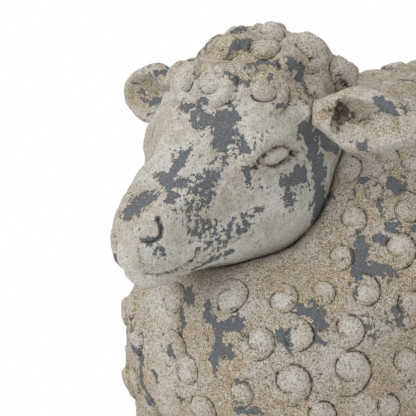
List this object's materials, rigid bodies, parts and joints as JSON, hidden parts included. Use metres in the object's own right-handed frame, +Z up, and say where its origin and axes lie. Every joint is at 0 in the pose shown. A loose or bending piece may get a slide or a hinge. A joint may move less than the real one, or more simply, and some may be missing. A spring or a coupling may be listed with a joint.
{
  "type": "sheep figurine",
  "caption": "Standing sheep garden figurine in weathered cement composite, with a curled fleece, a topknot, sideways ears and cloven hooves, made of bonded castings on steel rods.",
  "frame": {"origin": "on the ground, under the middle of the figure's length and width", "axes": "+Z up, -Y the way the sheep faces, +X towards the sheep's left side"},
  "size_m": [0.232, 0.5062, 0.424],
  "materials": {
    "coated_cement": "matte",
    "plain_cement": "matte",
    "rod_steel": "satin"
  },
  "bodies": {
    "root": {"body_left": "coated_cement", "body_right": "coated_cement", "head": "coated_cement", "ear_left": "coated_cement", "ear_right": "coated_cement", "front_left_leg": "coated_cement", "front_right_leg": "coated_cement", "hind_left_leg": "coated_cement", "hind_right_leg": "coated_cement", "tail": "coated_cement", "belly_plug": "plain_cement", "leg_rods": "rod_steel", "neck_rods": "rod_steel", "ear_dowels": "rod_steel", "tail_dowel": "rod_steel"}
  },
  "joints": []
}
